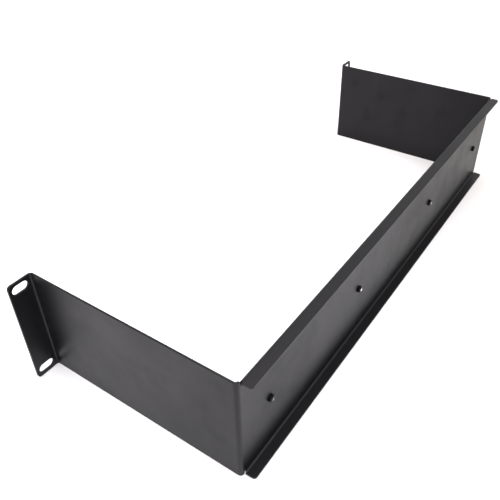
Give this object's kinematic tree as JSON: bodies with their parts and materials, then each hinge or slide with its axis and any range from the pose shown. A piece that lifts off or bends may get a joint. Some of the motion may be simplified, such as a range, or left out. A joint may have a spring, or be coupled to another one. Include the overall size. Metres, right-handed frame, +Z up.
{
  "type": "din rail rack bracket",
  "caption": "Folded steel bracket that spans an equipment rack and holds a riveted top-hat DIN rail back from its front, with slotted ears, side arms and stiffening flanges.",
  "frame": {"origin": "centre of the pattern of ear slots, on the ears' rear faces, where they meet the rack's rails", "axes": "+X across the rack to the right as seen from the front, +Y back from the ears towards the web, +Z up"},
  "size_m": [0.4826, 0.1801, 0.0882],
  "materials": {
    "black_powder_coat": "satin, fine texture",
    "zinc_plated_steel": "zinc plated, clear passivated",
    "black_rivet": "black, satin",
    "bright_steel": "bright"
  },
  "bodies": {
    "root": {"folded_bracket": "black_powder_coat", "din_rail": "zinc_plated_steel", "rivet_left_outer": "black_rivet", "rivet_left_inner": "black_rivet", "rivet_right_inner": "black_rivet", "rivet_right_outer": "black_rivet", "mandrel_left_outer": "bright_steel", "mandrel_left_inner": "bright_steel", "mandrel_right_inner": "bright_steel", "mandrel_right_outer": "bright_steel"}
  },
  "joints": []
}
